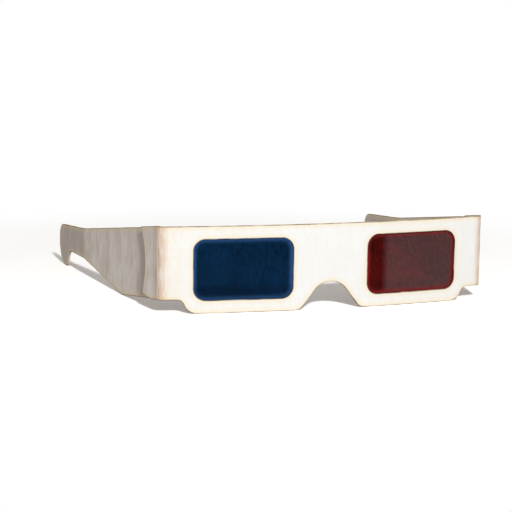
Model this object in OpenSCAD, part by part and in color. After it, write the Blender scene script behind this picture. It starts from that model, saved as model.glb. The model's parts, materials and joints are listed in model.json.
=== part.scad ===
// Folding card glasses for two-colour stereo pictures. Two bowed cards hold a blue and a red film
// between them. The front card folds round at each end into a tab, and an arm is glued to each tab.
// X runs to the wearer's left, Y to the back of the head, Z up. The lobes and the hooks stand on Z = 0.

/* [Front] */
// Width of the front across the folds at its ends
front_w = 137.6; // [134:0.2:142]
// Height of the front at the eye lobes
front_h = 34; // [33:0.25:36]
// Height of the ends that fold round into the tabs
end_h = 28.5; // [27.5:0.25:29.5]
// Radius to which the front is bowed
bow_r = 389; // [320:1:600]

/* [Eye windows] */
// Width of card between the two windows
bridge_w = 31.4; // [30:0.2:33]
// Width of card from a window to the end of the front
end_margin = 13.5; // [13:0.1:15]
// Height of each window
window_h = 23.8; // [22:0.2:25]
// Corner radius of the windows
window_r = 4.6; // [3:0.2:6]
// Height of the middle of the windows above the table
window_z = 17; // [16.5:0.1:17.5]
// Width of film hidden round each window
film_lap = 2.6; // [2.2:0.1:2.9]

/* [Nose notch] */
// Width of the notch between its flank lines at the bottom edge
notch_w = 25.4; // [24:0.2:27]
// Height of the notch
notch_h = 11; // [10:0.2:12]
// Slope of the flanks
notch_angle = 52; // [49:0.5:55]
// Rounding where the notch meets the bottom edge
notch_foot_r = 4.5; // [2:0.25:6]

/* [Lobes] */
// Distance from the outer foot of a lobe to the end of the front
lobe_inset = 11.3; // [10.5:0.1:12.5]
// Slope of the outer flank of a lobe
lobe_angle = 68; // [55:0.5:75]
// Rounding at the outer foot
lobe_foot_r = 5.6; // [3:0.1:6]
// Rounding where the flank meets the end
lobe_top_r = 2.8; // [1:0.1:3.5]

/* [Layers] */
// Thickness of the card
card_t = 0.8; // [0.6:0.05:0.9]
// Thickness of the coloured films
film_t = 0.2; // [0.15:0.01:0.25]
// Thickness of a line of glue
glue_t = 0.2; // [0.15:0.01:0.25]
// Room between two layers that lie against each other
layer_gap = 0.02; // [0.01:0.005:0.03]
// Distance from the edge of the front card to the edge of the back card
back_inset = 0.4; // [0.2:0.05:0.6]

/* [Folds and tabs] */
// Outer radius of the folds
fold_r = 3; // [2.7:0.1:3.4]
// Angle by which each arm spreads outward
splay = 4.1; // [3.4:0.1:5]
// Length of a tab along its top edge
tab_l = 16; // [15:0.25:18]
// Depth of the hollow in the free edge of a tab
tab_hollow = 4; // [3:0.25:5]
// Length of the lower edge of a tab before its corner is cut away
tab_foot_l = 5.8; // [4.5:0.1:7]

/* [Arms] */
// Length of an arm from its fold to the end of its hook
arm_l = 130.8; // [127:0.2:132]
// Angle by which the arms drop to the back
arm_drop = 8.2; // [7.6:0.1:8.6]
// Distance from the fold to the lower corner of an arm
corner_l = 42; // [38:0.5:46]
// Distance from the fold to the neck of an arm
neck_l = 90.6; // [87:0.2:94]
// Height of the neck
neck_h = 12.9; // [12:0.1:13.5]
// Angle by which the ear piece turns inward
ear_turn = 3; // [2:0.1:3.4]
// Height of the top of the ear piece at its end
ear_top = 17.4; // [16.8:0.1:18.4]
// Width of the hook at its tip
hook_w = 14.2; // [13:0.1:15]

/* [Hidden] */
$fn = 180;
// Largest step along the round corners of an outline, in degrees
arc_step = 6;
// Distance from the top edge of a tab down to the top edge of the arm inside it
arm_inset = 0.3;
// Height of the lower corner of an arm above the table
corner_z = 0.2;
// Distance from the fold to the hidden front edge of an arm
arm_start = 1.5;
// Radii along the outline of an arm, from its top edge round the hook to its lower corner
arm_top_r = 60;
ear_corner_r = 6;
hook_back_r = 10;
hook_tip_r = 3;
hook_root_r = 5;
neck_r = 20;
corner_r = 1.5;
// Lean of the front edge of the hook and height of the neck above the root of the hook
hook_lean = 1.7;
hook_root_drop = 0.3;
// Rise of the cut-away lower corner of a tab
tab_cut_rise = 1;
// Rounding of the corners of the tabs
tab_r = 0.6;
// Corner radius of the films, and how far the glue stays back from the edge of what it holds
film_r = 6;
glue_inset = 0.8;
// How far the glue rings stay outside the windows
ring_inset = 0.4;
// How much larger the windows of the back card are on each side
back_relief = 0.5;
// Corner radius of the glue patches
patch_r = 1.5;
// Distance from the fold to the end of the back card
back_gap = 1.2;
// Least straight length between the two roundings of a lobe's flank
flank_l = 0.2;
// Extra length that lets a cutting shape reach past what it cuts
reach = 1;

step_z = front_h - end_h;
lobe_x = front_w / 2 - lobe_inset;
// Share of their full size that the two roundings of a lobe's flank have room for
lobe_round_l = (lobe_foot_r + lobe_top_r) * tan(lobe_angle / 2);
lobe_ease = min(1, (step_z / sin(lobe_angle) - flank_l) / lobe_round_l);
window_w = (front_w - bridge_w) / 2 - end_margin;
window_pitch = window_w + bridge_w;
film_w = window_w + 2 * film_lap;
film_h = window_h + 2 * film_lap;
// Depth of each layer behind the front face
film_d = card_t + layer_gap;
ring_d = film_d + film_t + layer_gap;
back_d = ring_d + glue_t + layer_gap;
// Place of a fold's middle, and the turn of the front where the fold begins
fold_x = front_w / 2 - fold_r * cos(splay);
fold_turn = asin(fold_x / (bow_r - fold_r));
fold_y = bow_r - (bow_r - fold_r) * cos(fold_turn);
// End of the back card, short of the fold
back_x = fold_x - back_gap;
// Layers of an arm, measured outward from the middle of its fold
tab_in = fold_r - card_t;
pad_in = tab_in - layer_gap - glue_t;
arm_in = pad_in - layer_gap - card_t;
// Rearmost point of the arms, and the middle of the whole length
tip_x = arm_in - (arm_l - neck_l) * tan(ear_turn);
rear_y = fold_y + arm_l * cos(splay) - tip_x * sin(splay);
mid_y = rear_y / 2;
// Height of the top edge of a tab, and of an arm, at a distance from the fold
function tab_top(l) = front_h - l * tan(arm_drop);
function arm_top(l) = tab_top(l) - arm_inset;
// Nose notch: where its flank lines would meet, and the radius that rounds them off
notch_peak = notch_w / 2 * tan(notch_angle);
notch_r = (notch_peak - notch_h) / (1 / cos(notch_angle) - 1);

CARD = [0.96, 0.95, 0.91];
BLUE = [0.06, 0.16, 0.28];
RED = [0.32, 0.08, 0.08];
GLUE = [0.86, 0.80, 0.62];

// An outline is a list of corners, each [across, up, radius], taken anticlockwise
function spot(p) = [p[0], p[1]];
function before(pts, i) = pts[(i + len(pts) - 1) % len(pts)];
function after(pts, i) = pts[(i + 1) % len(pts)];
function toward(a, b) = (spot(b) - spot(a)) / norm(spot(b) - spot(a));
function heading(a, b) = atan2(b[1] - a[1], b[0] - a[0]);
// Change of heading at a corner, positive to the left
function turn(pts, i) =
    let (t = heading(pts[i], after(pts, i)) - heading(before(pts, i), pts[i]))
    t - 360 * round(t / 360);
// Points along the arc that rounds a corner, or the corner itself where it is sharp
function rounded(pts, i) =
    let (
        r = pts[i][2], t = turn(pts, i), side = sign(t), count = ceil(abs(t) / arc_step),
        start = spot(pts[i]) + toward(pts[i], before(pts, i)) * r * tan(abs(t) / 2),
        from = heading(before(pts, i), pts[i]) - 90 * side,
        middle = start - r * [cos(from), sin(from)]
    )
    r == 0 ? [spot(pts[i])] :
    [for (k = [0 : count]) middle + r * [cos(from + t * k / count), sin(from + t * k / count)]];

// Closed outline with round corners
module outline(pts) {
    polygon([for (i = [0 : len(pts) - 1]) each rounded(pts, i)]);
}

// Box outline with four equal corners round a middle point
module box_outline(middle, w, h, r) {
    translate(middle) outline([
        [-w / 2, -h / 2, r], [w / 2, -h / 2, r], [w / 2, h / 2, r], [-w / 2, h / 2, r]
    ]);
}

// Places a piece so that the middle of the whole length lies on the origin
module centred() {
    translate([0, -mid_y, 0]) children();
}

// Bowed layer of the front, of a given depth and thickness, cut to an outline seen from the front
module bowed_layer(depth, t) {
    intersection() {
        translate([0, bow_r, 0]) linear_extrude(front_h) difference() {
            circle(bow_r - depth);
            circle(bow_r - depth - t);
        }
        translate([0, fold_y + reach, 0]) rotate([90, 0, 0])
            linear_extrude(fold_y + 2 * reach) children();
    }
}

// Front view of a card, drawn in from the edges of the front card by an inset
module card_outline(inset, end_x) {
    foot = lobe_x - inset * tan(lobe_angle / 2);
    shoulder = foot + step_z / tan(lobe_angle);
    notch = notch_w / 2 + inset * tan(notch_angle / 2);
    peak = notch_peak + inset / cos(notch_angle);
    foot_r = lobe_foot_r * lobe_ease - inset;
    top_r = lobe_top_r * lobe_ease + inset;
    outline([
        [-end_x, front_h - inset, 0], [-end_x, step_z + inset, 0],
        [-shoulder, step_z + inset, top_r], [-foot, inset, foot_r],
        [-notch, inset, notch_foot_r - inset], [0, peak, notch_r + inset],
        [notch, inset, notch_foot_r - inset], [foot, inset, foot_r],
        [shoulder, step_z + inset, top_r], [end_x, step_z + inset, 0], [end_x, front_h - inset, 0]
    ]);
}

// Both window openings, enlarged on each side by a relief
module windows(relief) {
    for (side = [-1, 1]) box_outline(
        [side * window_pitch / 2, window_z], window_w + 2 * relief, window_h + 2 * relief,
        window_r + relief
    );
}

// Sector of a circle about the origin, from one direction to another
module sector(r, from, to) {
    polygon([
        [0, 0], r * [cos(from), sin(from)], r * [cos((from + to) / 2), sin((from + to) / 2)],
        r * [cos(to), sin(to)]
    ]);
}

// Card that faces the world, up to the folds at its ends
module front_card() {
    color(CARD) centred() intersection() {
        bowed_layer(0, card_t) difference() {
            card_outline(0, front_w / 2);
            windows(0);
        }
        translate([0, bow_r, 0]) linear_extrude(front_h)
            sector(bow_r + 2 * fold_r, -90 - fold_turn, -90 + fold_turn);
    }
}

// Plain card that closes the front from behind
module back_card() {
    color(CARD) centred() bowed_layer(back_d, card_t) difference() {
        card_outline(back_inset, back_x);
        windows(back_relief);
    }
}

// Coloured film over one window
module filter(side) {
    bowed_layer(film_d, film_t)
        box_outline([side * window_pitch / 2, window_z], film_w, film_h, film_r);
}

// Ring of glue that holds one film against the back card
module filter_glue(side) {
    bowed_layer(ring_d, glue_t) difference() {
        box_outline(
            [side * window_pitch / 2, window_z], film_w - glue_inset, film_h - glue_inset, film_r
        );
        box_outline(
            [side * window_pitch / 2, window_z], window_w + 2 * (back_relief + ring_inset),
            window_h + 2 * (back_relief + ring_inset), window_r + back_relief
        );
    }
}

// Patch of glue that fills the slot between the cards beside the films
module patch(x_from, x_to, z_from) {
    z_to = front_h - back_inset - glue_inset;
    bowed_layer(film_d, film_t + layer_gap + glue_t) box_outline(
        [(x_from + x_to) / 2, (z_from + z_to) / 2], x_to - x_from, z_to - z_from, patch_r
    );
}

// Places a piece of an arm, drawn with the fold's middle on the origin and the arm along Y
module on_fold(side) {
    centred() mirror([side < 0 ? 1 : 0, 0, 0]) translate([fold_x, fold_y, 0]) rotate([0, 0, -splay])
        children();
}

// Flat layer of an arm, cut to an outline seen from the side
module side_layer(inner, t) {
    translate([inner, 0, 0]) rotate([90, 0, 90]) linear_extrude(t) children();
}

// Bent strip of the front card that is the hinge of an arm
module fold(side) {
    on_fold(side) translate([0, 0, step_z]) linear_extrude(end_h) intersection() {
        difference() {
            circle(fold_r);
            circle(fold_r - card_t);
        }
        sector(2 * fold_r, -90 + fold_turn + splay, 0);
    }
}

// End of the front card beyond the fold, with a hollow free edge and a cut-away lower corner
module tab(side) {
    low = [tab_l - tab_cut_rise, tab_foot_z() + tab_cut_rise];
    high = [tab_l, tab_top(tab_l)];
    span = norm(high - low);
    hollow_r = (span * span / 4 + tab_hollow * tab_hollow) / (2 * tab_hollow);
    out = [high[1] - low[1], low[0] - high[0]] / span;
    on_fold(side) side_layer(tab_in, card_t) difference() {
        outline([
            [0, step_z, 0], [tab_foot_l, tab_foot_z(), tab_r], [low[0], low[1], 0],
            [high[0], high[1], 0], [0, front_h, 0]
        ]);
        translate((low + high) / 2 + out * (hollow_r - tab_hollow)) circle(hollow_r);
    }
}

// Height of the lower edge of a tab where its corner is cut away
function tab_foot_z() = step_z - tab_foot_l * tan(arm_drop);

// Pad of glue between a tab and its arm
module tab_pad(side) {
    from = arm_start + glue_inset;
    to = tab_l - tab_hollow - 2 * glue_inset;
    on_fold(side) side_layer(pad_in, glue_t) outline([
        [from, step_z + 2 * glue_inset, patch_r], [to, step_z + 2 * glue_inset, patch_r],
        [to, arm_top(to) - glue_inset, patch_r], [from, arm_top(from) - glue_inset, patch_r]
    ]);
}

// Arm seen from the side: a strip that tapers to the neck and ends in a hook behind the ear
module arm_outline() {
    hook_l = arm_l - hook_w;
    neck_z = arm_top(neck_l) - neck_h;
    outline([
        [arm_start, step_z - arm_start * (step_z - corner_z) / corner_l, 0],
        [corner_l, corner_z, corner_r], [neck_l, neck_z, neck_r],
        [hook_l - hook_lean, neck_z - hook_root_drop, hook_root_r], [hook_l, 0, hook_tip_r],
        [arm_l, 0, hook_back_r], [arm_l, ear_top, ear_corner_r],
        [neck_l, arm_top(neck_l), arm_top_r], [arm_start, arm_top(arm_start), 0]
    ]);
}

// Arm seen from above: straight from the fold to the neck, then turned inward
module arm_plan() {
    ear_end = arm_l + reach;
    drift = (ear_end - neck_l) * tan(ear_turn);
    polygon([
        [arm_in, arm_start], [arm_in + card_t, arm_start], [arm_in + card_t, neck_l],
        [arm_in + card_t - drift, ear_end], [arm_in - drift, ear_end], [arm_in, neck_l]
    ]);
}

// Whole arm, cut from one piece of card
module arm(side) {
    on_fold(side) intersection() {
        linear_extrude(front_h) arm_plan();
        side_layer(tip_x - reach, fold_r - tip_x + reach) arm_outline();
    }
}

module blue_filter() { color(BLUE) centred() filter(-1); }
module red_filter() { color(RED) centred() filter(1); }
module blue_filter_glue() { color(GLUE) centred() filter_glue(-1); }
module red_filter_glue() { color(GLUE) centred() filter_glue(1); }

// Patch of glue between the cards over the nose
module bridge_glue() {
    edge = window_pitch / 2 - film_w / 2 - glue_inset;
    color(GLUE) centred() patch(-edge, edge, notch_h + 2 * glue_inset);
}

// Patch of glue between the cards beside a film, at one end of the front
module end_patch(side) {
    color(GLUE) centred() mirror([side < 0 ? 1 : 0, 0, 0])
        patch(window_pitch / 2 + film_w / 2 + glue_inset, back_x - glue_inset, step_z + 2 * glue_inset);
}

module right_end_glue() { end_patch(-1); }
module left_end_glue() { end_patch(1); }

module right_fold() { color(CARD) fold(-1); }
module right_tab() { color(CARD) tab(-1); }
module right_tab_glue() { color(GLUE) tab_pad(-1); }
module right_arm() { color(CARD) arm(-1); }

module left_fold() { color(CARD) fold(1); }
module left_tab() { color(CARD) tab(1); }
module left_tab_glue() { color(GLUE) tab_pad(1); }
module left_arm() { color(CARD) arm(1); }

front_card();
back_card();
blue_filter();
red_filter();
blue_filter_glue();
red_filter_glue();
bridge_glue();
right_end_glue();
left_end_glue();
right_fold();
right_tab();
right_tab_glue();
right_arm();
left_fold();
left_tab();
left_tab_glue();
left_arm();
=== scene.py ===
"""Folding card glasses with a blue and a red film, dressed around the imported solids."""

import json
import math

import bmesh
import bpy
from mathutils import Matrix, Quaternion, Vector, kdtree, noise


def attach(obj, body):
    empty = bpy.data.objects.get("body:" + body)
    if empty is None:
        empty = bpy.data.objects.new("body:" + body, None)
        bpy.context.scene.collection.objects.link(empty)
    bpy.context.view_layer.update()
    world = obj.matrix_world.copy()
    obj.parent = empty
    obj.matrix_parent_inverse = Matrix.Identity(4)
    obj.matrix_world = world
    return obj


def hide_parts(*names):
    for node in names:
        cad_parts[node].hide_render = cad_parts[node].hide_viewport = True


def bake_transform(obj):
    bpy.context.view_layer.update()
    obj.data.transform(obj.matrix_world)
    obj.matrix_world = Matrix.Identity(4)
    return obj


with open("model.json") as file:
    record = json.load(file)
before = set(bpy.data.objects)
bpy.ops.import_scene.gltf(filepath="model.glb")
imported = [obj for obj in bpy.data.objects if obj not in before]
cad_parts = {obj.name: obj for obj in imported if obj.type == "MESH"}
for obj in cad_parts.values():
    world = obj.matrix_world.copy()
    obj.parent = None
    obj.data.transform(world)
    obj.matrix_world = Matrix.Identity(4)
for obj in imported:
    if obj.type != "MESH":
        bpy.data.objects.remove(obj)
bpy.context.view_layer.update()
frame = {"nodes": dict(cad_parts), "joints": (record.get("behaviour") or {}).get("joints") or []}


# Front card
# The front is one sheet of thick white board, die cut with two eye windows and a nose notch.
# It is bowed, and its ends run on round the folds.
MM = 0.001
SAME = 0.002 * MM
CARD_BEVEL = 0.1 * MM
GRID = 1.5 * MM
RIM_STEP = 0.1 * MM
FRONTWARD = Vector((0, -1, 0))
SAME_WAY = 0.7
CUT_ANGLE = math.radians(57)
SMOOTH_ANGLE = math.radians(15)
HANDLING_STAIN = 0.5
HANDLING_REACH = 12 * MM
# Close to the folds the board is tinted brown: partly its colour, partly painted shade going into the
# fold.
FOLD_TINT = 0.7
TINT_BEFORE = 2 * MM
TINT_FULL = 1.2 * MM

front_points = [v.co for v in frame["nodes"]["front_card"].data.vertices]
front_y = min(co.y for co in front_points)
front_tip = max(front_points, key=lambda co: co.x)
tip_rise = front_tip.y - front_y
bow_r = (front_tip.x**2 + tip_rise**2) / (2 * tip_rise)
bow_y = front_y + bow_r
end_turn = math.asin(front_tip.x / bow_r)
end_along = bow_r * end_turn


def bow_flat(co):
    """Unrolls a point of the bowed front: along the sheet, depth behind its face, height."""
    turn = math.atan2(co.x, bow_y - co.y)
    return Vector((bow_r * turn, bow_r - math.hypot(co.x, bow_y - co.y), co.z))


def bow(along, depth, up):
    """Rolls a point of the flat sheet back onto the bow."""
    turn = along / bow_r
    reach = bow_r - depth
    return Vector((reach * math.sin(turn), bow_y - reach * math.cos(turn), up))


def outer_face(node, facing, flat):
    """The side of a solid that looks one way, unrolled into a flat sheet, and its depth."""
    sheet = bmesh.new()
    sheet.from_mesh(frame["nodes"][node].data)
    bmesh.ops.remove_doubles(sheet, verts=sheet.verts, dist=SAME)
    sheet.normal_update()
    turned_away = [f for f in sheet.faces if f.normal.dot(facing) < SAME_WAY]
    bmesh.ops.delete(sheet, geom=turned_away, context="FACES")
    for v in sheet.verts:
        v.co = flat(v.co)
    depth = min(v.co.y for v in sheet.verts)
    for v in sheet.verts:
        v.co.y = 0
    bmesh.ops.dissolve_limit(
        sheet, angle_limit=math.radians(1), verts=sheet.verts[:], edges=sheet.edges[:]
    )
    return sheet, depth


def thicken(sheet, thickness):
    """Gives a flat sheet its thickness, away from its outer face."""
    grown = bmesh.ops.extrude_face_region(sheet, geom=sheet.faces[:])["geom"]
    back = [v for v in grown if isinstance(v, bmesh.types.BMVert)]
    bmesh.ops.translate(sheet, vec=(0, thickness, 0), verts=back)
    bmesh.ops.recalc_face_normals(sheet, faces=sheet.faces[:])


def cut_edges(sheet, seam):
    """Edges along the cut outline, but not where the sheet runs on into another piece."""
    level = [e for e in sheet.edges if abs(e.verts[0].co.y - e.verts[1].co.y) < SAME]
    sharp = [e for e in level if len(e.link_faces) == 2 and e.calc_face_angle() > CUT_ANGLE]
    return [e for e in sharp if not all(seam(v.co) for v in e.verts)]


def rim_tree(edges):
    """A search tree of points along the cut outline, in the plane of the sheet."""
    points = []
    for e in edges:
        count = max(1, math.ceil(e.calc_length() / RIM_STEP))
        first, last = (Vector((v.co.x, 0, v.co.z)) for v in e.verts)
        points += [first.lerp(last, i / count) for i in range(count + 1)]
    tree = kdtree.KDTree(len(points))
    for i, point in enumerate(points):
        tree.insert(point, i)
    tree.balance()
    return tree


def soften(sheet, edges):
    """Takes the sharpness off cut edges."""
    bmesh.ops.bevel(
        sheet, geom=edges, offset=CARD_BEVEL, segments=2, profile=0.5, affect="EDGES", material=-1
    )


def steps(low, high, step):
    """Even places between two ends, for the lines of a grid."""
    count = max(1, round((high - low) / step))
    return [low + (high - low) * i / count for i in range(1, count)]


def span(sheet, axis):
    """Lowest and highest place of a sheet along one axis."""
    places = [v.co[axis] for v in sheet.verts]
    return min(places), max(places)


def grid(sheet, alongs):
    """Cuts a sheet along upright and level lines, so that it can bend."""
    lines = [((at, 0, 0), (1, 0, 0)) for at in alongs]
    lines += [((0, 0, at), (0, 0, 1)) for at in steps(*span(sheet, 2), GRID)]
    for place, normal in lines:
        everything = sheet.verts[:] + sheet.edges[:] + sheet.faces[:]
        bmesh.ops.bisect_plane(
            sheet, geom=everything, dist=SAME / 4, plane_co=place, plane_no=normal
        )


def nowhere(along, depth, up):
    """0 all over a sheet."""
    return 0


def film_span(node):
    """Lowest and highest corner of a film that is unrolled flat."""
    points = [bow_flat(v.co) for v in frame["nodes"][node].data.vertices]
    return [Vector([pick(co[i] for co in points) for i in range(3)]) for pick in (min, max)]


def in_window(along, depth, up):
    """1 where a film lies behind the front, and 0 elsewhere: the cut edges there take painted shade.
    """
    return any(a.x < along < b.x and a.z < up < b.z for a, b in film_spans)


def mark(sheet, tree, window=nowhere, side=nowhere, crease=nowhere, wear_and_shade=nowhere):
    """Keeps on each point its place on the flat sheet and its distance from the cut edge, in mm, and,
    from 0 to 1, how far it is at a window, turned to the side and creased, and its share of wear and
    painted shade."""
    place = sheet.verts.layers.float_vector.new("sheet")
    edge = sheet.verts.layers.float.new("edge")
    shares = {"window": window, "side": side, "crease": crease, "wear_and_shade": wear_and_shade}
    layers = [(sheet.verts.layers.float.new(name), share) for name, share in shares.items()]
    for v in sheet.verts:
        v[place] = v.co / MM
        v[edge] = tree.find(Vector((v.co.x, 0, v.co.z)))[2] / MM
        for layer, share in layers:
            v[layer] = share(*v.co)


def roll_up(sheet, bend, depth=0, mirrored=False):
    """Moves every point of a flat sheet to its place on the object."""
    for v in sheet.verts:
        v.co = bend(v.co.x, v.co.y + depth, v.co.z)
    if mirrored:
        bmesh.ops.reverse_faces(sheet, faces=sheet.faces[:])


def piece(name, sheet, finish, slot, *nodes):
    """Turns a finished sheet into an object that stands for some of the solids."""
    mesh = bpy.data.meshes.new(name)
    sheet.to_mesh(mesh)
    sheet.free()
    mesh.polygons.foreach_set("use_smooth", [True] * len(mesh.polygons))
    mesh.set_sharp_from_angle(angle=SMOOTH_ANGLE)
    mesh.materials.append(finish)
    made = bpy.data.objects.new(name, mesh)
    bpy.context.scene.collection.objects.link(made)
    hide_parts(*nodes)
    return made


class Shade:
    """A socket of a material. Arithmetic on it adds Math nodes, and node() adds any other."""

    def __init__(self, tree, socket=None):
        self.tree = tree
        self.socket = socket

    def node(self, kind, settings=None, sockets=None, out=0):
        made = self.tree.nodes.new(kind)
        for name, value in (settings or {}).items():
            setattr(made, name, value)
        for name, value in (sockets or {}).items():
            if isinstance(value, Shade):
                self.tree.links.new(value.socket, made.inputs[name])
            else:
                made.inputs[name].default_value = value
        return Shade(self.tree, made.outputs[out] if made.outputs else None)

    def math(self, operation, first, second):
        return self.node("ShaderNodeMath", {"operation": operation}, {0: first, 1: second})

    def __add__(self, other):
        return self.math("ADD", self, other)

    def __radd__(self, other):
        return self.math("ADD", other, self)

    def __sub__(self, other):
        return self.math("SUBTRACT", self, other)

    def __rsub__(self, other):
        return self.math("SUBTRACT", other, self)

    def __mul__(self, other):
        return self.math("MULTIPLY", self, other)

    def __rmul__(self, other):
        return self.math("MULTIPLY", other, self)


def srgb(red, green, blue):
    """A colour as seen on a screen, from 0 to 255, as the linear colour that a shader takes."""
    parts = [c / 255 for c in (red, green, blue)]
    linear = [c / 12.92 if c <= 0.04045 else ((c + 0.055) / 1.055) ** 2.4 for c in parts]
    return (*linear, 1)


def blank_material(name):
    """A new material with no nodes, and a start for them."""
    made = bpy.data.materials.new(name)
    made.use_nodes = True
    made.node_tree.nodes.clear()
    return made, Shade(made.node_tree)


def ramp(value, low, high, first=0.0, last=1.0):
    """Smooth change from one number to another while a value goes from low to high."""
    sockets = {"Value": value, "From Min": low, "From Max": high, "To Min": first, "To Max": last}
    return value.node("ShaderNodeMapRange", {"interpolation_type": "SMOOTHSTEP"}, sockets)


def mixed(share, first, second):
    """A colour between two colours."""
    settings = {"data_type": "RGBA"}
    return share.node("ShaderNodeMix", settings, {0: share, 6: first, 7: second}, out=2)


def patches(place, across, up, detail=3.0, roughness=0.5):
    """Noise stretched over the sheet, with so many patches to a millimetre across and up."""
    stretch = {0: place, 1: (across, across, up)}
    stretched = place.node("ShaderNodeVectorMath", {"operation": "MULTIPLY"}, stretch)
    sockets = {"Vector": stretched, "Scale": 1.0, "Detail": detail, "Roughness": roughness}
    return place.node("ShaderNodeTexNoise", {}, sockets)


def board_material():
    """Uncoated board: upright fibre streaks, yellowed rims and brown cut edges, with painted shade on
    the arms and tabs, in the creases, at the windows and hook ends, and a painted shadow beside the
    tabs.
    """
    made, start = blank_material("white_board")
    place = start.node("ShaderNodeAttribute", {"attribute_name": "sheet"}, out="Vector")
    edge = start.node("ShaderNodeAttribute", {"attribute_name": "edge"}, out="Fac")
    window = start.node("ShaderNodeAttribute", {"attribute_name": "window"}, out="Fac")
    side = start.node("ShaderNodeAttribute", {"attribute_name": "side"}, out="Fac")
    crease = start.node("ShaderNodeAttribute", {"attribute_name": "crease"}, out="Fac")
    wear_and_shade = start.node("ShaderNodeAttribute", {"attribute_name": "wear_and_shade"}, out="Fac")
    depth = start.node("ShaderNodeSeparateXYZ", {}, {0: place}, out="Y")

    fine = patches(place, 0.7, 0.17, 3.0, 0.6)
    broad = patches(place, 0.14, 0.05, 2.0)
    cloud = patches(place, 0.45, 0.35, 3.0)
    tooth = patches(place, 5.0, 2.2, 2.0)
    dashes = patches(place, 0.12, 0.12, 2.0)

    streaks = ramp(0.75 * fine + 0.25 * broad, 0.36, 0.64)
    front = mixed(streaks, srgb(250, 250, 248), srgb(248, 246, 241))
    bands = ramp(0.5 * fine + 0.5 * broad, 0.36, 0.64)
    # The arms and tabs take a darker, warmer copy of the board: painted shade over real fibre bands.
    side_shade = mixed(bands, srgb(252, 245, 239), srgb(230, 216, 203))
    colour = mixed(side, front, side_shade)

    # On the front this mask is a handling stain; on the arms it is painted shade at the hook ends and
    # a painted shadow beside the tabs.
    stain_and_shade = mixed(side, srgb(251, 233, 200), srgb(186, 170, 156))
    colour = mixed(wear_and_shade * ramp(cloud + 0.3 * side, 0.28, 0.74), colour, stain_and_shade)
    yellowing = ramp(edge + 1.6 * cloud, 0.8, 3.4, 0.55, 0.0)
    colour = mixed(yellowing, colour, srgb(250, 231, 188))
    # Score lines and the board near the folds turn brown: partly the creased board's colour, partly
    # painted shade in the creases.
    colour = mixed(0.7 * crease * ramp(fine, 0.3, 0.6, 0.5, 1.0), colour, srgb(204, 148, 68))

    rim = ramp(edge + 0.24 * fine, 0.2, 0.55, 1.0, 0.0) * ramp(dashes, 0.34, 0.56, 0.5, 1.0)
    # Cut edges at the windows are painted darker brown: painted shade of the window walls.
    colour = mixed(rim, colour, mixed(window, srgb(130, 90, 50), srgb(66, 48, 32)))
    wall = ramp(depth, 0.06, 0.14) * ramp(depth, card_t / MM - 0.14, card_t / MM - 0.06, 1.0, 0.0)
    cut = mixed(ramp(dashes, 0.46, 0.6), srgb(240, 222, 188), srgb(186, 148, 104))
    # At the windows the cut walls are painted near black: painted shade.
    cut = mixed(window, cut, srgb(64, 48, 34))
    colour = mixed(wall, colour, cut)

    bumped = {"Strength": 0.22, "Distance": 0.08 * MM, "Height": 0.5 * fine + 0.5 * tooth}
    sockets = {
        "Base Color": colour,
        "Roughness": ramp(tooth, 0.2, 0.8, 0.7, 0.88),
        "Specular IOR Level": 0.3,
        "Normal": start.node("ShaderNodeBump", {}, bumped),
    }
    surface = start.node("ShaderNodeBsdfPrincipled", {}, sockets)
    start.node("ShaderNodeOutputMaterial", {}, {"Surface": surface})
    return made


def eased(value, low, high):
    """Goes smoothly from 0 to 1 while a value goes from low to high."""
    share = min(max((value - low) / (high - low), 0), 1)
    return share * share * (3 - 2 * share)


def handled(along, depth, up):
    """The end of the front beside the blue film, stained by handling."""
    return HANDLING_STAIN * eased(-along, end_along - HANDLING_REACH, end_along - MM)


def towards_fold(along, depth, up):
    """The brown tint on the front close to a fold, running on round it: partly the board's colour,
    partly painted shade going into the fold.
    """
    return FOLD_TINT * eased(abs(along) - end_along, -TINT_BEFORE, TINT_FULL)


card_t = max(bow_flat(co).y for co in front_points)
film_spans = [film_span("blue_filter"), film_span("red_filter")]
white_board = board_material()
front_sheet, _ = outer_face("front_card", FRONTWARD, bow_flat)
thicken(front_sheet, card_t)
front_rim = cut_edges(front_sheet, lambda co: abs(co.x) > end_along - SAME)
front_tree = rim_tree(front_rim)
soften(front_sheet, front_rim)
grid(front_sheet, steps(-end_along, end_along, GRID))
mark(front_sheet, front_tree, window=in_window, crease=towards_fold, wear_and_shade=handled)
roll_up(front_sheet, bow)
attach(piece("card_front", front_sheet, white_board, "card", "front_card"), "front")


# Blue and red films
# Each window is closed by a thin dyed film with a slight gloss. Its margin is hidden between the
# two cards, and in the window it is painted paler close to the rim, a painted glow.
FILM_ROUGHNESS = 0.1
RUBBED_FROM = 22.3 * MM
RUBBED_FULLY = 25.6 * MM


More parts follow.
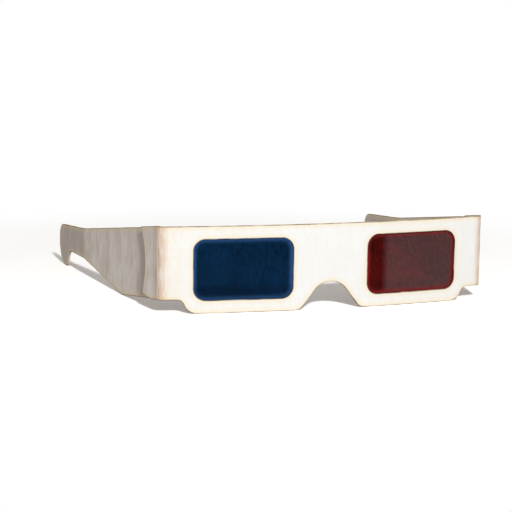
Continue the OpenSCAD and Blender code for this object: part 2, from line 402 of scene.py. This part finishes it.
def film_material(name, deep, thin, pale):
    """Clear dyed film: dense colour with faint mottling, and a painted glow along the rim."""
    made, start = blank_material(name)
    place = start.node("ShaderNodeAttribute", {"attribute_name": "sheet"}, out="Vector")
    edge = start.node("ShaderNodeAttribute", {"attribute_name": "edge"}, out="Fac")
    rubbed = start.node("ShaderNodeAttribute", {"attribute_name": "wear_and_shade"}, out="Fac")
    mottle = patches(place, 0.85, 0.45, 4.0, 0.65)
    broad = patches(place, 0.12, 0.07, 2.0)

    colour = mixed(ramp(0.75 * mottle + 0.25 * broad, 0.31, 0.69), deep, thin)
    # The rim is painted paler: a painted glow along the window edges.
    near = ramp(edge + 0.3 * mottle, -0.1, 3.0, 1.0, 0.0)
    rim = near * near
    colour = mixed(rim, colour, pale)
    bumped = {"Strength": 0.12, "Distance": 0.1 * MM, "Height": broad}
    sockets = {
        "Base Color": colour,
        "Roughness": ramp(mottle, 0.3, 0.7, FILM_ROUGHNESS, FILM_ROUGHNESS + 0.06),
        "IOR": 1.1,
        "Transmission Weight": 0.6,
        "Coat Weight": rubbed * (1 - rim) * ramp(mottle, 0.3, 0.7, 0.66, 0.9),
        "Coat Roughness": 0.25,
        "Normal": start.node("ShaderNodeBump", {}, bumped),
    }
    surface = start.node("ShaderNodeBsdfPrincipled", {}, sockets)
    start.node("ShaderNodeOutputMaterial", {}, {"Surface": surface})
    return made


def rubbed_red(along, depth, up):
    """The part of the red film away from the notch, rubbed to a soft gloss on its outer face."""
    return eased(along, RUBBED_FROM, RUBBED_FULLY) if depth < SAME else 0


def film(name, node, finish, slot, rubbed=nowhere):
    """A film cut to the size of its solid and bowed with the front."""
    low, high = film_span(node)
    sheet, depth = outer_face(node, FRONTWARD, bow_flat)
    thicken(sheet, high.y - low.y)
    grid(sheet, steps(low.x, high.x, GRID))
    mark(sheet, front_tree, wear_and_shade=rubbed)
    roll_up(sheet, bow, depth)
    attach(piece(name, sheet, finish, slot, node), "front")


blue_film = film_material("blue_film", srgb(1, 28, 50), srgb(6, 49, 85), srgb(54, 98, 153))
red_film = film_material("red_film", srgb(64, 5, 5), srgb(99, 17, 16), srgb(168, 48, 52))
film("film_blue", "blue_filter", blue_film, "blue_film")
film("film_red", "red_filter", red_film, "red_film", rubbed_red)


# Glue
# Thin lines of dried white glue hold the films, the two cards and the arms together. They stay
# back from the edges, and show only as a pale line in the gaps.
def glue_material():
    """Dried craft glue: yellowish white, uneven and slightly shiny."""
    made, start = blank_material("dried_glue")
    place = start.node("ShaderNodeTexCoord", out="Object")
    lumps = start.node("ShaderNodeTexNoise", {}, {"Vector": place, "Scale": 900.0, "Detail": 3.0})
    colour = mixed(ramp(lumps, 0.35, 0.65), srgb(226, 212, 172), srgb(204, 182, 134))
    bumped = {"Strength": 0.3, "Distance": 0.1 * MM, "Height": lumps}
    sockets = {
        "Base Color": colour,
        "Roughness": ramp(lumps, 0.3, 0.7, 0.35, 0.55),
        "Normal": start.node("ShaderNodeBump", {}, bumped),
    }
    surface = start.node("ShaderNodeBsdfPrincipled", {}, sockets)
    start.node("ShaderNodeOutputMaterial", {}, {"Surface": surface})
    return made


dried_glue = glue_material()
for node, solid in frame["nodes"].items():
    if node.endswith("glue"):
        solid.data.materials.clear()
        solid.data.materials.append(dried_glue)


# Back card
# A second, plain sheet of the same board closes the front from behind. It is glued over the films
# and ends just short of the folds.
back_sheet, back_depth = outer_face("back_card", FRONTWARD, bow_flat)
thicken(back_sheet, card_t)
back_rim = cut_edges(back_sheet, lambda co: False)
back_tree = rim_tree(back_rim)
soften(back_sheet, back_rim)
grid(back_sheet, steps(*span(back_sheet, 0), GRID))
mark(back_sheet, back_tree, window=in_window)
roll_up(back_sheet, bow, back_depth)
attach(piece("card_back", back_sheet, white_board, "card", "back_card"), "front")


# Folds, tabs and arms
# At each end the front card is creased round into a tab with a hollow free edge. The arm is a die-cut
# strip of the same board, glued to the inside of the tab, and ends in a hook.
FOLD_GRID = 0.12 * MM
SCORE_DEPTH = 0.1 * MM
SCORE_DRIFT = 0.25
SCORE_WAVE = 6 * MM
FOLD_SCORES = ((0.9, 0.5, 0.5), (2.85, 0.28, 1.0), (4.5, 0.3, 0.5))
TINT_FADE = 2.4 * MM
TINT_AFTER = 3 * MM
TAB_LIFT = 0.5 * MM
TAB_HELD = 4 * MM
TAB_FREE = 13 * MM
# A strip of the arm's outer face beside the tab is painted darker: a painted shadow of the tab's
# lifted edge.
TAB_SHADOW = 0.5
TAB_SHADOW_FADE = (8.5 * MM, 11.5 * MM)
NECK = 90.6 * MM
NECK_BEND = 4 * MM
NECK_SCORES = ((0.0, 0.5, 0.7),)
EAR_TURN = math.radians(3)
# The hook end is painted darker: painted shade.
EAR_SHADE = 0.55


def scored(along, up, lines):
    """How deep the board is pressed in along upright score lines that wander a little. Each line
    has its place and width in mm and its share of the full depth."""
    at = along / MM + SCORE_DRIFT * noise.noise(Vector((lines[0][0], 0, up / SCORE_WAVE)))
    return max(share * math.exp(-(((at - line) / wide) ** 2)) for line, wide, share in lines)


def neck_score(along, depth, up):
    """The score line at the neck of an arm, where it bends inward."""
    return scored(along - NECK, up, NECK_SCORES)


def ear_shade(along):
    """The hook end of an arm, painted darker as painted shade."""
    return EAR_SHADE * eased(along, NECK - NECK_BEND, NECK + NECK_BEND)


def ear_drift(along):
    """How far an arm has drifted inward at a distance from its fold, round an easy bend."""
    bent = min(max(along - NECK + NECK_BEND / 2, 0), NECK_BEND)
    past = max(along - NECK - NECK_BEND / 2, 0)
    return math.tan(EAR_TURN) * (bent * bent / (2 * NECK_BEND) + past)


def side_pieces(side, name):
    """The fold with its tab, and the arm, on one side of the glasses."""
    joint = next(j for j in frame["joints"] if j["child"] == f"{name}_temple")
    axis = Vector((joint["pos_m"][0] * side, joint["pos_m"][1], 0))
    outer = [p for p in frame["nodes"][f"{name}_tab"].data.polygons if p.normal.x * side > SAME_WAY]
    facing = max(outer, key=lambda p: p.area).normal.copy()
    outward = Vector((facing.x * side, facing.y, 0)).normalized()
    rearward = Vector((-outward.y, outward.x, 0))

    def from_axis(co):
        return Vector((co.x * side, co.y, 0)) - axis

    tab_points = [from_axis(v.co) for v in frame["nodes"][f"{name}_tab"].data.vertices]
    fold_r = max(point.dot(outward) for point in tab_points)
    fold_turn = math.pi / 2 - end_turn - math.atan2(-outward.y, outward.x)
    fold_l = fold_r * fold_turn
    tab_start = end_along + fold_l

    def arm_flat(co):
        place = from_axis(co)
        return Vector((place.dot(rearward), fold_r - place.dot(outward), co.z))

    def tab_flat(co):
        return arm_flat(co) + Vector((tab_start, 0, 0))

    def arm_place(along, depth, up):
        place = axis + rearward * along + outward * (fold_r - depth)
        return Vector((place.x * side, place.y, up))

    def fold_score(along, up):
        return scored(along - end_along, up, FOLD_SCORES)

    # Brown in the score lines and near the fold: partly the creased board's colour, partly painted
    # shade.
    def fold_tint(along, depth, up):
        fading = 1 - eased(along - end_along, TINT_FADE, fold_l + TINT_AFTER)
        return max(fold_score(along, up), towards_fold(along, depth, up) * fading)

    def fold_place(along, depth, up):
        depth += SCORE_DEPTH * fold_score(along, up)
        if along > tab_start:
            lift = TAB_LIFT * eased(along - tab_start, TAB_HELD, TAB_FREE)
            return arm_place(along - tab_start, depth - lift, up)
        turn = (tab_start - along) / fold_r
        spoke = outward * math.cos(turn) - rearward * math.sin(turn)
        place = axis + spoke * (fold_r - depth)
        return Vector((place.x * side, place.y, up))

    def arm_bend(along, depth, up):
        pressed = SCORE_DEPTH * neck_score(along, depth, up)
        return arm_place(along, depth + ear_drift(along) + pressed, up)

    def turned(along, depth, up):
        return eased(along, end_along, tab_start)

    def arm_shade(along, depth, up):
        """Painted shade: the hook end painted darker, and on the outer face a darker strip beside the
        tab, a painted shadow of its lifted edge.
        """
        beside = tab_tree.find(Vector((along + tab_start, 0, up)))[2]
        painted_shadow = TAB_SHADOW * (1 - eased(beside, *TAB_SHADOW_FADE)) if depth < SAME else 0
        return max(ear_shade(along), painted_shadow)

    sheet, _ = outer_face(f"{name}_tab", facing, tab_flat)
    joined = [e for e in sheet.edges if all(abs(v.co.x - tab_start) < SAME for v in e.verts)]
    grown = bmesh.ops.extrude_edge_only(sheet, edges=joined)["geom"]
    moved = [v for v in grown if isinstance(v, bmesh.types.BMVert)]
    bmesh.ops.translate(sheet, vec=(-fold_l, 0, 0), verts=moved)
    bmesh.ops.recalc_face_normals(sheet, faces=sheet.faces[:])
    thicken(sheet, card_t)
    rim = cut_edges(sheet, lambda co: co.x < end_along + SAME)
    tab_tree = rim_tree(rim)
    soften(sheet, rim)
    fold_lines = steps(end_along, tab_start, FOLD_GRID) + [tab_start]
    tab_end = span(sheet, 0)[1]
    grid(sheet, fold_lines + steps(tab_start, tab_end, GRID))
    mark(sheet, tab_tree, side=turned, crease=fold_tint)
    roll_up(sheet, fold_place, mirrored=side < 0)
    nodes = (f"{name}_fold", f"{name}_tab")
    tab = piece(f"tab_{name}", sheet, white_board, "card", *nodes)
    start = fold_place(end_along, card_t, 0)
    end = fold_place(tab_start, card_t, 0)
    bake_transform(tab)

    sheet, depth = outer_face(f"{name}_arm", facing, arm_flat)
    thicken(sheet, card_t)
    rim = cut_edges(sheet, lambda co: False)
    tree = rim_tree(rim)
    soften(sheet, rim)
    neck_lines = steps(NECK - NECK_BEND / 2, NECK + NECK_BEND / 2, 2 * FOLD_GRID)
    grid(sheet, neck_lines + steps(*span(sheet, 0), GRID))
    mark(sheet, tree, side=lambda along, depth, up: 1, crease=neck_score, wear_and_shade=arm_shade)
    roll_up(sheet, arm_bend, depth, mirrored=side < 0)
    arm = piece(f"arm_{name}", sheet, white_board, "card", f"{name}_arm")
    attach(arm, f"{name}_temple")


side_pieces(-1, "right")
side_pieces(1, "left")


# Floor
# A plain white floor that takes the soft shadow near the glasses and fades to plain white.
FLOOR_HALF = 20.0
SHADOW_FULL = 0.1
SHADOW_REACH = 0.25
FLOOR_LIFT = 1.62
FLOOR_SHADE = 0.6


def in_view(start):
    """1 for a ray that the camera sees, straight or by way of a gloss or a film, and 0 for others."""
    kinds = ("Is Camera Ray", "Is Glossy Ray", "Is Transmission Ray")
    straight, glossy, through = (start.node("ShaderNodeLightPath", out=kind) for kind in kinds)
    return ramp(straight + glossy + through, 0.0, 1.0)


def floor_material():
    """White paper with the shadow near the glasses, and plain white further away."""
    made, start = blank_material("floor")
    place = start.node("ShaderNodeTexCoord", out="Object")
    far = start.node("ShaderNodeVectorMath", {"operation": "LENGTH"}, {0: place}, out="Value")
    seen = in_view(start)
    shade = mixed(seen, (FLOOR_SHADE,) * 3 + (1,), (FLOOR_LIFT,) * 3 + (1,))
    paper = start.node("ShaderNodeBsdfDiffuse", {}, {"Color": shade})
    white = start.node("ShaderNodeEmission", {}, {"Color": (1, 1, 1, 1), "Strength": 1.0})
    faded = ramp(far, SHADOW_FULL, SHADOW_REACH) * seen
    surface = start.node("ShaderNodeMixShader", {}, {0: faded, 1: paper, 2: white})
    start.node("ShaderNodeOutputMaterial", {}, {"Surface": surface})
    return made


ground = bmesh.new()
bmesh.ops.create_grid(ground, x_segments=1, y_segments=1, size=FLOOR_HALF)
ground_mesh = bpy.data.meshes.new("floor")
ground.to_mesh(ground_mesh)
ground.free()
ground_mesh.materials.append(floor_material())
floor = bpy.data.objects.new("floor", ground_mesh)
bpy.context.scene.collection.objects.link(floor)


# Light
# One soft lamp in front and above, which grazes the arms, and an even pale surround.
KEY_PLACE = Vector((-0.2, -1.25, 0.78))
KEY_AIM = Vector((0, front_y, 0.02))
KEY_SIZE = 0.1
KEY_POWER = 15.2
SURROUND = 0.28
SURROUND_TINT = (1, 0.96, 0.92, 1)

key_lamp = bpy.data.lights.new("key", "AREA")
key_lamp.shape = "DISK"
key_lamp.size = KEY_SIZE
key_lamp.energy = KEY_POWER
key = bpy.data.objects.new("key", key_lamp)
key.location = KEY_PLACE
key.rotation_euler = (KEY_AIM - KEY_PLACE).to_track_quat("-Z", "Y").to_euler()
bpy.context.scene.collection.objects.link(key)

surround = bpy.data.worlds.new("surround")
bpy.context.scene.world = surround
surround.use_nodes = True
surround.node_tree.nodes.clear()
sky = Shade(surround.node_tree)
sky_seen = in_view(sky)
sockets = {
    "Color": mixed(sky_seen, SURROUND_TINT, (1, 1, 1, 1)),
    "Strength": ramp(sky_seen, 0.0, 1.0, SURROUND, 1.0),
}
sky_surface = sky.node("ShaderNodeBackground", {}, sockets)
sky.node("ShaderNodeOutputWorld", {}, {"Surface": sky_surface})


# Camera
# A long lens on the side of the blue film, a little above the glasses.
AZIMUTH = math.radians(-20)
ELEVATION = math.radians(9.007)
ROLL = math.radians(0.926)
DISTANCE = 681.39 * MM
TARGET = Vector((-31.373 * MM, front_y, 22.266 * MM))
LENS = 124.33
SENSOR = 36

camera_data = bpy.data.cameras.new("camera")
camera_data.sensor_width = SENSOR
camera_data.lens = LENS
camera = bpy.data.objects.new("camera", camera_data)
level = math.cos(ELEVATION)
sight = Vector((-math.sin(AZIMUTH) * level, math.cos(AZIMUTH) * level, -math.sin(ELEVATION)))
camera.location = TARGET - sight * DISTANCE
aim = sight.to_track_quat("-Z", "Y") @ Quaternion((0, 0, 1), ROLL)
camera.rotation_euler = aim.to_euler()
bpy.context.scene.collection.objects.link(camera)
bpy.context.scene.camera = camera
bpy.context.scene.view_settings.view_transform = "Standard"
